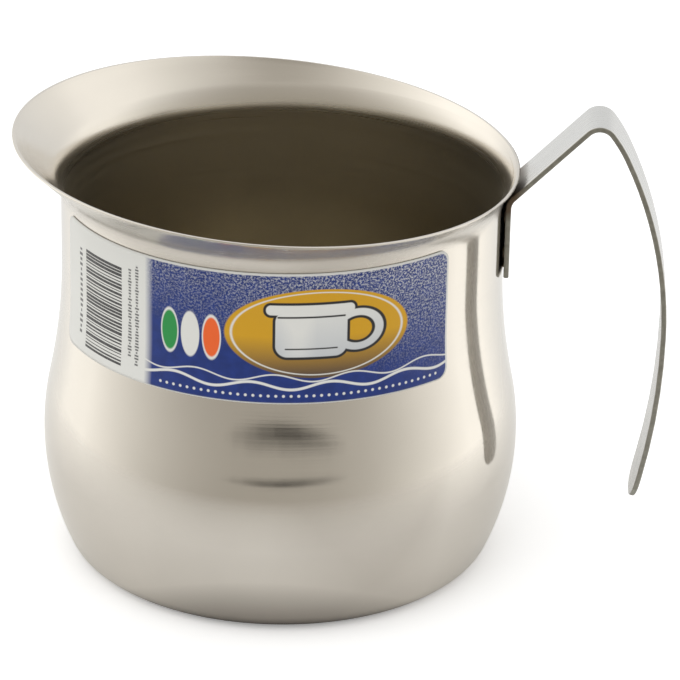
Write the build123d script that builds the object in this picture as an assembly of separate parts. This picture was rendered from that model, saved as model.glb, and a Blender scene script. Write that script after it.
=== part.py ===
from build123d import *
from math import asin, atan, cos, degrees, radians, sin, tan
import os

# Milk pan in polished stainless steel: a bulged pot drawn from one sheet, with a flared mouth
# trimmed on a slant, and a handle bent from one flat strip and welded to the neck.
# Lengths are in millimetres and turns in degrees. The pan's axis is Z and its foot stands on z = 0.
# The high, wide side of the mouth that pours points to -X, and the handle is on the +X side.

# Body sheet
wall = 0.8
neck_bore = 120.0
belly_swell = 5.4
base_inset = 8.3
corner_bend = 8.0
belly_bend = 75.0
neck_length = 19.3
flare_bend = 10.0
flare_turn = 46.0

# Slanted trim of the mouth, with its height at the pan's axis and its shortest lip at the handle
rim_height = 117.85
rim_slant = 3.8
shortest_lip = 1.2

# Stamped base, pressed up inside its foot ring by a sloping step
base_recess = 0.7
foot_width = 7.0
recess_slope = 35.0

# Handle strip
strip_width = 17.0
strip_thickness = 1.5
leg_length = 20.7
weld_standoff = 0.2
root_bend = 5.0
slant_turn = 44.6
slant_length = 27.7
apex_bend = 5.2
apex_turn = 97.9
upper_sweep = 42.5
upper_turn = 11.1
grip_sweep = 117.5
tail_sweep = 201.0
tail_turn = 13.8
strip_ease = 0.25
tail_corner = 1.0
leg_corner = 1.5

# Spot welds between the handle's leg and the neck
weld_diameter = 4.0
weld_pitch = 10.0
weld_mark_diameter = 5.0
weld_mark_depth = 0.2

# Adhesive label, a film on its layer of glue, which hangs from just under the neck's upper end
label_glue = 0.1
label_thickness = 0.15
label_length = 123.0
label_height = 35.6
label_headroom = 0.1
label_right_reach = 52.7
label_corner = 3.5
label_corner_bite = 0.05

# One overrun serves all cuts
overrun = 20.0

# Radii, turns and heights of the outer face that follow from the sizes above. The shoulder's bend
# takes up what height is left between the belly's widest circle and the straight neck.
neck_radius = neck_bore / 2 + wall
belly_radius = neck_radius + belly_swell
base_radius = neck_radius - base_inset
corner_turn = degrees(asin((base_radius + belly_bend - belly_radius) / (belly_bend - corner_bend)))
belly_height = corner_bend + (belly_bend - corner_bend) * cos(radians(corner_turn))
lip_reach = flare_bend * (1 - cos(radians(flare_turn))) + shortest_lip * sin(radians(flare_turn))
lip_rise = flare_bend * sin(radians(flare_turn)) + shortest_lip * cos(radians(flare_turn))
neck_top = rim_height - (neck_radius + lip_reach) * tan(radians(rim_slant)) - lip_rise
shoulder_rise = neck_top - neck_length - belly_height
shoulder_turn = degrees(2 * atan(belly_swell / shoulder_rise))
shoulder_bend = shoulder_rise / sin(radians(shoulder_turn)) - belly_bend
belly_turn = 90 + shoulder_turn - corner_turn


def run_on(edges, length=0.0, radius=0.0, turn=0.0):
    """Adds a straight run, or an arc with a turn to the left, that goes on from the last edge."""
    start = edges[-1] @ 1
    heading = edges[-1] % 1
    if turn:
        edges.append(JernArc(start, heading, radius, turn))
    else:
        edges.append(Line(start, start + heading * length))


def band_face(outer, inner):
    """The flat face between two lines of the same sheet, closed at both ends."""
    first_end = Line(outer[0] @ 0, inner[0] @ 0)
    last_end = Line(outer[-1] @ 1, inner[-1] @ 1)
    return make_face([*outer, last_end, *inner, first_end])


def body_line(depth):
    """The drawn sheet's line from the axis to beyond the rim, at a depth inside its outer face.
    X is the radius and Y the height. A bend's radius follows the depth, so the sheet stays even."""
    foot_start = base_radius - foot_width + depth * tan(radians(recess_slope) / 2)
    floor_end = foot_start - base_recess / tan(radians(recess_slope))
    line = [
        Line((0, base_recess + depth), (floor_end, base_recess + depth)),
        Line((floor_end, base_recess + depth), (foot_start, depth)),
        Line((foot_start, depth), (base_radius, depth)),
    ]
    run_on(line, radius=corner_bend - depth, turn=corner_turn)
    run_on(line, radius=belly_bend - depth, turn=belly_turn)
    run_on(line, radius=shoulder_bend + depth, turn=-shoulder_turn)
    run_on(line, length=neck_length)
    run_on(line, radius=flare_bend + depth, turn=-flare_turn)
    run_on(line, length=overrun)
    return line


def upright(face):
    """Stands a face that was drawn as radius and height on the XZ plane."""
    return Plane.XZ * face


def rim_plane():
    """The plane of the trimmed mouth, high on the pouring side."""
    return Plane((0, 0, rim_height)).rotated((0, rim_slant, 0))


def build_body():
    """One shell of even wall, revolved and then trimmed square by the slanted plane."""
    sheet = band_face(body_line(0), body_line(wall))
    shell = revolve(upright(sheet), axis=Axis.Z)
    return split(shell, bisect_by=rim_plane(), keep=Keep.BOTTOM)


def strip_line(depth):
    """The handle's line from the foot of its leg to its free end, at a depth below its top face.
    Every bend turns towards the underside, so its radius shrinks with the depth. The leg stands off
    the neck and bends away where the pan's wider flare begins, so it draws clear of the flare."""
    leg_x = neck_radius + weld_standoff + depth
    grip_turn = 180 - slant_turn - apex_turn - upper_turn
    line = [Line((leg_x, neck_top - leg_length), (leg_x, neck_top))]
    run_on(line, radius=root_bend - depth, turn=-slant_turn)
    run_on(line, length=slant_length)
    run_on(line, radius=apex_bend - depth, turn=-apex_turn)
    run_on(line, radius=upper_sweep - depth, turn=-upper_turn)
    run_on(line, radius=grip_sweep - depth, turn=-grip_turn)
    run_on(line, radius=tail_sweep - depth, turn=-tail_turn)
    return line


def weld_heights():
    """Heights of the two welds, spread evenly about the middle of the leg."""
    leg = strip_line(0)[0]
    middle = (leg @ 0.5).Y
    return [middle - weld_pitch / 2, middle + weld_pitch / 2]


def edges_as_long_as(strip, length):
    """The strip's edges of one length, in order from the leg to the free end."""
    return strip.edges().filter_by(lambda edge: abs(edge.length - length) < strip_ease).sort_by(Axis.X)


def strip_blank():
    """The bent strip, cut square and with its four corners rounded."""
    face = band_face(strip_line(0), strip_line(strip_thickness))
    strip = extrude(upright(face), strip_width / 2, both=True)
    strip = fillet(edges_as_long_as(strip, strip_thickness)[-2:], tail_corner)
    return fillet(edges_as_long_as(strip, strip_thickness)[:2], leg_corner)


def weld_mark(height):
    """The shallow dish that a welding tip leaves on the outer face of the leg."""
    tip_radius = (weld_mark_diameter ** 2 / 4 + weld_mark_depth ** 2) / (2 * weld_mark_depth)
    face_x = neck_radius + weld_standoff + strip_thickness
    return Pos(face_x + tip_radius - weld_mark_depth, 0, height) * Sphere(tip_radius)


def build_handle():
    """The bent strip with its sharp edges broken and the two weld marks on its leg."""
    strip = strip_blank()
    smooth_joins = edges_as_long_as(strip, strip_width) + edges_as_long_as(strip, strip_thickness)
    strip = chamfer(strip.edges() - smooth_joins, strip_ease)
    for height in weld_heights():
        strip -= weld_mark(height)
    return strip


def build_welds():
    """Two nuggets that fill the gap between the round neck and the flat leg."""
    leg_x = neck_radius + weld_standoff
    nuggets = []
    for height in weld_heights():
        rod = Plane((0, 0, height), z_dir=(1, 0, 0)) * extrude(Circle(weld_diameter / 2), leg_x)
        nuggets.append(rod - Pos(0, 0, height) * Cylinder(neck_radius, weld_diameter + overrun))
    return Compound(children=nuggets)


def label_corner_waste(turn, height, side, end):
    """What rounding a corner of the label takes off, as a block that runs out from the pan's axis.
    Its round stands past the label's edges by the corner bite, so that the two lines cross."""
    square = Pos(side * label_corner, end * label_corner) * Rectangle(2 * label_corner, 2 * label_corner)
    from_axis = Plane((0, 0, height), x_dir=(-sin(turn), cos(turn), 0), z_dir=(cos(turn), sin(turn), 0))
    return from_axis * extrude(square - Circle(label_corner), belly_radius + overrun)


def build_label():
    """A thin film that follows the neck and the shoulder, cut to length with round corners."""
    skin = band_face(body_line(-label_glue - label_thickness), body_line(-label_glue))
    head = neck_top - label_headroom
    foot = head - label_height
    window = Pos(belly_radius, (head + foot) / 2) * Rectangle(belly_radius, label_height)
    last = label_right_reach / neck_radius - radians(90)
    first = last - label_length / neck_radius
    corner_centre = label_corner - label_corner_bite
    inset = corner_centre / neck_radius
    film = revolve(upright(skin & window), axis=Axis.Z, revolution_arc=degrees(last - first))
    film = Rot(0, 0, degrees(first)) * film
    for turn, side in ((first + inset, -1), (last - inset, 1)):
        film -= label_corner_waste(turn, foot + corner_centre, side, -1)
        film -= label_corner_waste(turn, head - corner_centre, side, 1)
    return film


if __name__ == "__main__":
    os.makedirs("parts", exist_ok=True)
    export_step(build_body(), "parts/pan_body.step")
    export_step(build_handle(), "parts/handle_strip.step")
    export_step(build_welds(), "parts/spot_welds.step")
    export_step(build_label(), "parts/label.step")
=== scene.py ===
from math import asin, atan, ceil, cos, pi, radians, sin, sqrt, tan

import bmesh
import bpy
from bpy.props import FloatProperty, FloatVectorProperty, IntProperty, PointerProperty
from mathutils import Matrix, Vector


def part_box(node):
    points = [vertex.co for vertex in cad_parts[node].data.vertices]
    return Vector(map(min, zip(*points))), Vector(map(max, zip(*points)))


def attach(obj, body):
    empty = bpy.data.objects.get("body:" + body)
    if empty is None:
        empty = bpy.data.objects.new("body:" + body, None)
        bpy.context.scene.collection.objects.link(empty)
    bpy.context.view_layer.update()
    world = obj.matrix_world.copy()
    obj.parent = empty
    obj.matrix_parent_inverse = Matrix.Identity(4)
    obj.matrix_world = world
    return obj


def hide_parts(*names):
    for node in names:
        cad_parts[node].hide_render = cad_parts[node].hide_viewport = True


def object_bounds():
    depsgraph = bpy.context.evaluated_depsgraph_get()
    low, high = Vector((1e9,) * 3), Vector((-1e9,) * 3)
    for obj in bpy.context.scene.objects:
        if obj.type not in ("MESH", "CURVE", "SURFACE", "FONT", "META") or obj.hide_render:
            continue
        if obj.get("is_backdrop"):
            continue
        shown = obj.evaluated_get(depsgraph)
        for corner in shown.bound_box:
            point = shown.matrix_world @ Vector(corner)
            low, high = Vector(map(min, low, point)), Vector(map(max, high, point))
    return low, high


bl_info = {
    "name": "Milk Pan",
    "version": (1, 0, 0),
    "blender": (4, 5, 0),
    "location": "3D View > Sidebar > Milk Pan",
    "description": "Spins, prints, lights and frames a polished steel milk pan around its packed solids",
    "category": "Object",
}

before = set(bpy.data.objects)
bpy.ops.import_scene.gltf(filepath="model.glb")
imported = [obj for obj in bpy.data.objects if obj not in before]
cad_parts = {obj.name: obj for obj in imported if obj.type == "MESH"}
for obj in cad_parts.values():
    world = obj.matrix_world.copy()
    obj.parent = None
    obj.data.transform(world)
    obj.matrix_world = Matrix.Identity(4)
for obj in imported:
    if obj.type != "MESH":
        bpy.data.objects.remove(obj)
cad_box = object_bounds()
MM = 0.001


# Sizes and colours that a user would change

def length(name, description, millimetres):
    """A length that is shown in the scene's own unit."""
    return FloatProperty(name=name, description=description, default=millimetres * MM, unit="LENGTH",
                         precision=5)


def turn(name, description, degrees):
    return FloatProperty(name=name, description=description, default=radians(degrees), subtype="ANGLE")


def colour(name, description, shade):
    return FloatVectorProperty(name=name, description=description, default=shade, size=3,
                               subtype="COLOR", min=0, max=1)


def share(name, description, default, top=1.0):
    return FloatProperty(name=name, description=description, default=default, min=0, max=top,
                         subtype="FACTOR")


class MilkPanSheet(bpy.types.PropertyGroup):
    """The drawn sheet that the body is made of."""
    wall: length("Wall", "Thickness of the sheet", 0.8)
    neck_radius: length("Neck Radius", "Outer radius of the straight neck", 60.8)
    belly_swell: length("Belly Swell", "How far the belly stands out from the neck", 5.4)
    base_inset: length("Base Inset", "How far the base's edge stands in from the neck", 8.3)
    corner_bend: length("Corner Bend", "Outer radius of the bend from base to belly", 8.0)
    belly_bend: length("Belly Bend", "Outer radius of the belly's upright curve", 75.0)
    neck_length: length("Neck Length", "Straight length of the neck", 19.3)
    flare_bend: length("Flare Bend", "Outer radius of the bend from neck to lip", 10.0)
    flare_turn: turn("Flare Turn", "How far the lip leans out", 46.0)
    rim_height: length("Rim Height", "Height of the rim's plane on the pan's axis", 117.85)
    rim_slant: turn("Rim Slant", "How far the rim's plane rises towards the pouring side", 3.8)
    shortest_lip: length("Shortest Lip", "Straight length of the lip on the handle's side", 1.2)
    rim_round: length("Rim Round", "Radius of the deburred edges of the rim", 0.25)
    base_recess: length("Base Recess", "How far the base is pressed up inside its foot ring", 0.7)
    foot_width: length("Foot Width", "Width of the foot ring", 7.0)
    recess_turn: turn("Recess Turn", "Slope of the step inside the foot ring", 35.0)
    recess_bend: length("Recess Bend", "Radius of the bends of that step", 1.2)
    steps_around: IntProperty(name="Steps Around", description="Faces round the pan", default=320, min=48)


class MilkPanHandle(bpy.types.PropertyGroup):
    """The bent strip of the handle. Its bends are measured on the outer face."""
    strip_width: length("Strip Width", "Width of the strip", 17.0)
    strip_thickness: length("Strip Thickness", "Thickness of the strip", 1.5)
    weld_standoff: length("Weld Standoff", "Gap between the neck and the leg", 0.2)
    leg_length: length("Leg Length", "Straight length that is welded to the neck", 20.7)
    root_bend: length("Root Bend", "Radius of the bend above the leg", 5.0)
    slant_turn: turn("Slant Turn", "How far the strip leans out above the leg", 44.6)
    slant_length: length("Slant Length", "Straight length from the leg to the top", 27.7)
    apex_bend: length("Apex Bend", "Radius of the topmost bend", 5.2)
    apex_turn: turn("Apex Turn", "Turn of the topmost bend", 97.9)
    upper_sweep: length("Upper Sweep", "Radius of the grip's upper curve", 42.5)
    upper_turn: turn("Upper Turn", "Turn of the grip's upper curve", 11.1)
    grip_sweep: length("Grip Sweep", "Radius of the grip's long curve", 117.5)
    tail_sweep: length("Tail Sweep", "Radius of the curve at the free end", 201.0)
    tail_turn: turn("Tail Turn", "Turn of the curve at the free end", 13.8)
    tip_reach: length("Tip Reach", "How far the round end stands past the curve at the free end", 3.3)
    tip_round: length("Tip Round", "Radius of the free end's two corners", 7.0)
    leg_corner: length("Leg Corner", "Radius of the corners at the foot of the leg", 1.5)
    edge_round: length("Edge Round", "Radius of the strip's long edges", 0.4)
    weld_diameter: length("Weld Diameter", "Diameter of the spot welds", 4.0)
    mark_diameter: length("Mark Diameter", "Diameter of the dish that a welding tip leaves", 5.0)
    mark_depth: length("Mark Depth", "Depth of that dish", 0.2)


class MilkPanLabel(bpy.types.PropertyGroup):
    """The printed film round the neck. Its places run from its left end and from its foot."""
    glue: length("Glue", "Thickness of the glue layer", 0.1)
    thickness: length("Thickness", "Thickness of the film", 0.15)
    label_length: length("Length", "Length of the film round the neck", 123.0)
    label_height: length("Height", "Height of the film", 37.0)
    foot_height: length("Foot Height", "Height of the film's lower edge", 69.8)
    right_reach: length("Right Reach", "How far the film runs to the right of the front", 52.7)
    corner: length("Corner", "Radius of the film's corners", 3.5)
    steps_along: IntProperty(name="Steps Along", description="Faces along the film", default=160, min=24)
    steps_up: IntProperty(name="Steps Up", description="Faces up the film", default=40, min=8)
    bar_count: IntProperty(name="Bars", description="Number of printed bars", default=30, min=1)
    bar_left: length("Bar Left", "Where the bars begin, from the film's left end", 11.4)
    bar_length: length("Bar Length", "Length of the bars", 16.0)
    bar_foot: length("Bar Foot", "Height of the lowest bar above the film's foot", 2.8)
    bar_stack: length("Bar Stack", "Height of the whole stack of bars", 28.5)
    bar_widest: length("Widest Bar", "Width of the widest bar", 0.85)
    bar_finest: length("Finest Bar", "Width of the finest bar", 0.2)
    ink_lift: length("Ink Lift", "How far the ink stands off the film", 0.02)
    bar_seed: IntProperty(name="Bar Seed", description="Seed of the bars' widths", default=7)


class MilkPanFinish(bpy.types.PropertyGroup):
    """Colours of steel and print."""
    steel: colour("Steel", "Polished steel of the body", (0.67, 0.635, 0.585))
    # Satin steel of the inside, made darker and browner as painted shade in the bowl
    satin: colour("Satin", "Duller steel inside the bowl", (0.5, 0.455, 0.36))
    strip: colour("Strip", "Steel of the handle", (0.64, 0.64, 0.635))
    # Dull cut edges of the strip, made darker still as painted shade along its edges
    edge: colour("Sheared Edge", "Cut edges of the handle", (0.27, 0.265, 0.235))
    # Heat stain round the welds, also used as painted shade on the strip's top face at its root
    stain: colour("Stain", "Heat stain round the welds", (0.14, 0.105, 0.075))
    weld: colour("Weld", "Heated steel at the welds", (0.3, 0.26, 0.22))
    film: colour("Film", "White of the film", (0.68, 0.68, 0.65))
    blue: colour("Blue", "Printed field", (0.011, 0.034, 0.2))
    ochre: colour("Ochre", "Printed panel", (0.58, 0.31, 0.01))
    brown: colour("Brown", "Lower edge of the printed panel", (0.11, 0.07, 0.04))
    silver: colour("Silver", "Printed mark", (0.5, 0.52, 0.54))
    green: colour("Green", "Printed accent", (0.02, 0.26, 0.06))
    orange: colour("Orange", "Printed accent", (0.78, 0.12, 0.02))
    ink: colour("Ink", "Black print", (0.02, 0.02, 0.022))


class MilkPanStudio(bpy.types.PropertyGroup):
    """Camera and light."""
    camera_spot: FloatVectorProperty(name="Camera Spot", description="Where the camera stands",
                                     default=(0.06285, -0.99768, 0.51391), size=3, subtype="TRANSLATION")
    aim_spot: FloatVectorProperty(name="Aim Spot", description="What the camera looks at",
                                  default=(0.01631, 0.0, 0.06101), size=3, subtype="TRANSLATION")
    roll: turn("Roll", "Turn of the camera about its line of sight", 1.117)
    lens: FloatProperty(name="Lens", description="Focal length of the camera", default=208.64,
                        unit="CAMERA")
    sky: share("Sky", "Strength of the plain light from all around", 0.93, 4.0)
    key: share("Key", "Strength of the soft lamp above", 0.45, 4.0)
    key_spread: turn("Key Spread", "How wide the lamp looks from the pan", 50.0)
    walls: share("Walls", "Strength of what the steel mirrors", 1.47, 4.0)
    side_wall: colour("Side Wall", "Bright walls beside the pan", (1.0, 0.985, 0.94))
    back_wall: colour("Back Wall", "Wall behind the pan", (0.65, 0.65, 0.64))
    front_wall: colour("Front Wall", "Room in front of the pan", (0.352, 0.333, 0.295))
    ceiling: colour("Ceiling", "What hangs over the pan", (0.15, 0.135, 0.105))
    floor_near: length("Floor Near", "Radius in which the steel mirrors the whole floor", 100.0)
    floor_far: length("Floor Far", "Radius beyond which the steel mirrors no floor", 230.0)


# Even steps

def spread(start, end, steps):
    """Evenly spaced values from start to end, both included."""
    return [start + (end - start) * k / steps for k in range(steps + 1)]


# Node building

def put(tree, kind, inputs=None, **settings):
    """Adds a node, sets its settings, then gives each named or numbered socket a value or a link."""
    node = tree.nodes.new(kind)
    for name, value in settings.items():
        setattr(node, name, value)
    for place, value in (inputs or {}).items():
        socket = node.inputs[place]
        if isinstance(value, bpy.types.NodeSocket):
            tree.links.new(value, socket)
        else:
            socket.default_value = value
    return node


class Sums:
    """Short forms of the arithmetic nodes of one tree."""

    def __init__(self, tree):
        self.tree = tree

    def math(self, operation, *values, clamp=False):
        inputs = dict(enumerate(values))
        return put(self.tree, "ShaderNodeMath", inputs, operation=operation, use_clamp=clamp).outputs[0]

    def add(self, a, b):
        return self.math("ADD", a, b)

    def less(self, a, b):
        return self.math("SUBTRACT", a, b)

    def times(self, a, b):
        return self.math("MULTIPLY", a, b)

    def over(self, a, b):
        return self.math("DIVIDE", a, b)

    def length(self, a, b):
        return self.math("SQRT", self.add(self.times(a, a), self.times(b, b)))

    def ramp(self, value, low, high, to_low=0.0, to_high=1.0):
        inputs = {"Value": value, "From Min": low, "From Max": high, "To Min": to_low, "To Max": to_high}
        return put(self.tree, "ShaderNodeMapRange", inputs, clamp=True).outputs["Result"]

    def vector(self, x, y, z):
        return put(self.tree, "ShaderNodeCombineXYZ", {0: x, 1: y, 2: z}).outputs[0]

    def mix(self, factor, first, second):
        """A blend of two colours."""
        node = put(self.tree, "ShaderNodeMix", data_type="RGBA")
        for socket, value in zip((node.inputs[0], node.inputs[6], node.inputs[7]), (factor, first, second)):
            if isinstance(value, bpy.types.NodeSocket):
                self.tree.links.new(value, socket)
            else:
                socket.default_value = value
        return node.outputs[2]


def opaque(shade):
    return (*shade, 1.0)


def new_material(name, **shader_values):
    """A material with a Principled shader whose plain values stand on its own sockets."""
    material = bpy.data.materials.new(name)
    material.use_nodes = True
    tree = material.node_tree
    shader = tree.nodes["Principled BSDF"]
    for socket, value in shader_values.items():
        shader.inputs[socket.replace("_", " ")].default_value = value
    return material, tree, shader, Sums(tree)


def bump(tree, shader, height, strength, distance):
    node = put(tree, "ShaderNodeBump", {"Height": height, "Strength": strength, "Distance": distance})
    tree.links.new(node.outputs[0], shader.inputs["Normal"])


def noise(tree, place, scale, detail=2.0, roughness=0.5):
    inputs = {"Vector": place, "Scale": scale, "Detail": detail, "Roughness": roughness}
    return put(tree, "ShaderNodeTexNoise", inputs).outputs["Fac"]


# Steel

def polished_steel(finish):
    """Rolled and polished sheet: fine marks run round the pan, and its inside is duller satin, whose darker
    brown colour deep in the bowl is painted shade.
    """
    round_stretch, run_stretch, bump_depth = 9.0, 900.0, 0.4 * MM
    flare_foot, flare_dulled, flare_dulling = 104.5 * MM, 107 * MM, 0.16
    bowl_top, bowl_rough, lip_foot, lip_rough = 100 * MM, 0.38, 112 * MM, 0.2
    bowl_shade_end, bowl_shade_gone = 101.5 * MM, 111.5 * MM
    material, tree, shader, sums = new_material("polished_steel", Metallic=1.0,
                                                Specular_Tint=opaque((1, 1, 1)))
    place = put(tree, "ShaderNodeTexCoord").outputs["Object"]
    run = put(tree, "ShaderNodeAttribute", attribute_name="sheet_run").outputs["Fac"]
    inside = put(tree, "ShaderNodeAttribute", attribute_name="inside").outputs["Fac"]
    at = put(tree, "ShaderNodeSeparateXYZ", {0: place})
    round_place = sums.vector(sums.times(at.outputs[0], round_stretch),
                              sums.times(at.outputs[1], round_stretch),
                              sums.times(run, run_stretch))
    lines = noise(tree, round_place, 1.6, detail=3.0, roughness=0.6)
    clouds = noise(tree, place, 28.0, detail=3.0)
    smudges = sums.ramp(noise(tree, place, 75.0, detail=4.0, roughness=0.65), 0.5, 0.75)
    polish = sums.add(sums.ramp(lines, 0.3, 0.75, 0.06, 0.12), sums.times(smudges, 0.03))
    height = at.outputs[2]
    satin = sums.add(sums.ramp(lines, 0.3, 0.75, -0.05, 0.05),
                     sums.ramp(height, bowl_top, lip_foot, bowl_rough, lip_rough))
    # Painted shade: deep in the bowl the inside takes the darker brown satin colour, which fades out towards
    # the rim
    bowl_shade = sums.times(inside, sums.ramp(height, bowl_shade_end, bowl_shade_gone, 1.0, 0.0))
    polish = sums.add(polish, sums.ramp(height, flare_foot, flare_dulled, 0.0, flare_dulling))
    blend = put(tree, "ShaderNodeMix", {0: inside, 2: polish, 3: satin})
    tree.links.new(blend.outputs[0], shader.inputs["Roughness"])
    darker = tuple(0.95 * part for part in finish.steel)
    tint = sums.mix(sums.ramp(clouds, 0.35, 0.65), opaque(darker), opaque(finish.steel))
    tint = sums.mix(bowl_shade, tint, opaque(finish.satin))
    tree.links.new(tint, shader.inputs["Base Color"])
    ripple = noise(tree, place, 38.0, detail=1.0)
    relief = sums.add(sums.times(lines, 0.05), ripple)
    bump(tree, shader, relief, 0.1, bump_depth)
    return material


def strip_steel(finish, weld_spots):
    """Flat bar with the grain of its rolling along its length, dull sheared edges darkened by painted shade,
    heat stains round the welds, and painted shade on its top face at the root under the rim.
    """
    grain_along, grain_across, tear_stretch = 25.0, 2600.0, 90.0
    root_unshaded, root_shaded = 67 * MM, 63.5 * MM
    root_shade_foot, root_shade_full = 102 * MM, 105 * MM
    ring_out, ring_in = 6 * MM, 2.8 * MM
    leg_out, leg_in = 66 * MM, 64 * MM
    material, tree, shader, sums = new_material("strip_steel", Metallic=1.0)
    place = put(tree, "ShaderNodeTexCoord").outputs["Object"]
    at = put(tree, "ShaderNodeSeparateXYZ", {0: place}).outputs
    grain_place = sums.vector(sums.times(at[0], grain_along), sums.times(at[1], grain_across),
                              sums.times(at[2], grain_along))
    grain = noise(tree, grain_place, 1.0, detail=2.0)
    clouds = noise(tree, place, 60.0, detail=3.0)
    # The cut edges are rougher and torn, and their dark colour is painted shade along the edge band
    sheared_and_shaded = put(tree, "ShaderNodeAttribute", attribute_name="cut_edge").outputs["Fac"]
    sheared_and_shaded = sums.ramp(sheared_and_shaded, 0.25, 0.9)
    torn_place = sums.vector(sums.times(at[0], tear_stretch), 0.0, sums.times(at[2], tear_stretch))
    tears = noise(tree, torn_place, 6.0, detail=3.0)
    darker = tuple(0.9 * part for part in finish.strip)
    tint = sums.mix(sums.ramp(grain, 0.3, 0.7), opaque(darker), opaque(finish.strip))
    worn = tuple(1.35 * part for part in finish.edge)
    edge = sums.mix(sums.ramp(tears, 0.35, 0.7), opaque(finish.edge), opaque(worn))
    tint = sums.mix(sheared_and_shaded, tint, edge)
    # Painted shade: the top face at the root, under the rim, takes the stain colour; the rings round the
    # welds are real heat stains
    stain_and_shade = sums.times(sums.ramp(at[0], root_unshaded, root_shaded), sums.ramp(at[2], root_shade_foot, root_shade_full))
    for y, z in weld_spots:
        off = sums.length(sums.less(at[1], y), sums.less(at[2], z))
        ring = sums.times(sums.ramp(off, ring_out, ring_in), sums.ramp(at[0], leg_out, leg_in))
        stain_and_shade = sums.math("MAXIMUM", stain_and_shade, sums.times(ring, sums.ramp(clouds, 0.3, 0.7, 0.4, 0.8)))
    tree.links.new(sums.mix(stain_and_shade, tint, opaque(finish.stain)), shader.inputs["Base Color"])
    rough = sums.add(sums.ramp(grain, 0.3, 0.7, 0.2, 0.3), sums.ramp(clouds, 0.4, 0.7, 0.0, 0.06))
    rough = sums.add(rough, sums.times(sums.math("MAXIMUM", sheared_and_shaded, stain_and_shade), 0.2))
    tree.links.new(rough, shader.inputs["Roughness"])
    height = sums.add(sums.add(grain, clouds), sums.times(sums.times(tears, sheared_and_shaded), 1.5))
    bump(tree, shader, height, 0.12, 0.0001)
    return material


def weld_steel(finish):
    """Dull, heat-stained metal between leg and neck."""
    material, tree, shader, sums = new_material("weld_steel", Metallic=1.0)
    place = put(tree, "ShaderNodeTexCoord").outputs["Object"]
    grains = noise(tree, place, 900.0, detail=4.0, roughness=0.6)
    tree.links.new(sums.ramp(grains, 0.3, 0.7, 0.4, 0.65), shader.inputs["Roughness"])
    straw = tuple(part * scale for part, scale in zip(finish.weld, (1.5, 1.3, 0.9)))
    tint = sums.mix(sums.ramp(grains, 0.35, 0.65), opaque(finish.weld), opaque(straw))
    tree.links.new(tint, shader.inputs["Base Color"])
    bump(tree, shader, grains, 0.5, 0.0002)
    return material


# Body

class SheetLine:
    """The line of a bent sheet as points of radius and height. A turn to the left is positive."""

    def __init__(self, start):
        self.points = [start]
        self.heading = 0.0

    def straight(self, run, steps=1):
        for _ in range(steps):
            self.step(run / steps)

    def bend(self, radius, turned, finest=radians(2.5)):
        steps = max(4, ceil(abs(turned) / finest))
        part = turned / steps
        chord = 2 * radius * sin(abs(part) / 2)
        for _ in range(steps):
            self.heading += part / 2
            self.step(chord)
            self.heading += part / 2

    def step(self, run):
        radius, height = self.points[-1]
        self.points.append((radius + run * cos(self.heading), height + run * sin(self.heading)))


def sheet_turns(sheet):
    """What follows from the sheet's sizes: its turns in order, the shoulder's bend and the neck's top."""
    belly_radius = sheet.neck_radius + sheet.belly_swell
    base_radius = sheet.neck_radius - sheet.base_inset
    corner = asin((base_radius + sheet.belly_bend - belly_radius) / (sheet.belly_bend - sheet.corner_bend))
    belly_height = sheet.corner_bend + (sheet.belly_bend - sheet.corner_bend) * cos(corner)
    lip_reach = sheet.flare_bend * (1 - cos(sheet.flare_turn)) + sheet.shortest_lip * sin(sheet.flare_turn)
    lip_rise = sheet.flare_bend * sin(sheet.flare_turn) + sheet.shortest_lip * cos(sheet.flare_turn)
    neck_top = sheet.rim_height - (sheet.neck_radius + lip_reach) * tan(sheet.rim_slant) - lip_rise
    rise = neck_top - sheet.neck_length - belly_height
    shoulder = 2 * atan(sheet.belly_swell / rise)
    shoulder_bend = rise / sin(shoulder) - sheet.belly_bend
    return corner, pi / 2 + shoulder - corner, shoulder, shoulder_bend, neck_top


def sheet_line(sheet, depth):
    """One face of the sheet from the axis to the rim at the middle of its slant, and where the lip starts."""
    corner, belly, shoulder, shoulder_bend, _ = sheet_turns(sheet)
    base_radius = sheet.neck_radius - sheet.base_inset
    slope = sheet.base_recess / tan(sheet.recess_turn)
    half_bend = sheet.recess_bend * tan(sheet.recess_turn / 2)
    floor = base_radius - sheet.foot_width - slope - half_bend
    line = SheetLine((0.0, sheet.base_recess + depth))
    line.straight(floor, 12)
    line.bend(sheet.recess_bend + depth, -sheet.recess_turn)
    line.straight(sheet.base_recess / sin(sheet.recess_turn) - 2 * half_bend)
    line.bend(sheet.recess_bend - depth, sheet.recess_turn)
    line.straight(base_radius - line.points[-1][0], 3)
    line.bend(sheet.corner_bend - depth, corner)
    line.bend(sheet.belly_bend - depth, belly, radians(1.5))
    line.bend(shoulder_bend + depth, -shoulder, radians(0.75))
    line.straight(sheet.neck_length, 4)
    line.bend(sheet.flare_bend + depth, -sheet.flare_turn, radians(2))
    lip_start = len(line.points)
    line.straight((sheet.rim_height - line.points[-1][1]) / sin(line.heading), 4)
    return line.points, lip_start


def rounded_corner(before, corner, after, radius, steps=6):
    """Points of the arc that rounds a corner between two straight runs."""
    here, back, on = Vector(corner), Vector(before), Vector(after)
    into, out = (back - here).normalized(), (on - here).normalized()
    half = into.angle(out) / 2
    centre = here + (into + out).normalized() * (radius / sin(half))
    first = here + into * (radius / tan(half))
    last = here + out * (radius / tan(half))
    arms = first - centre, last - centre
    whole = arms[0].angle(arms[1])
    weights = ((sin((1 - k / steps) * whole), sin(k / steps * whole)) for k in range(steps + 1))
    return [tuple(centre + (arms[0] * a + arms[1] * b) / sin(whole)) for a, b in weights]


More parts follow.
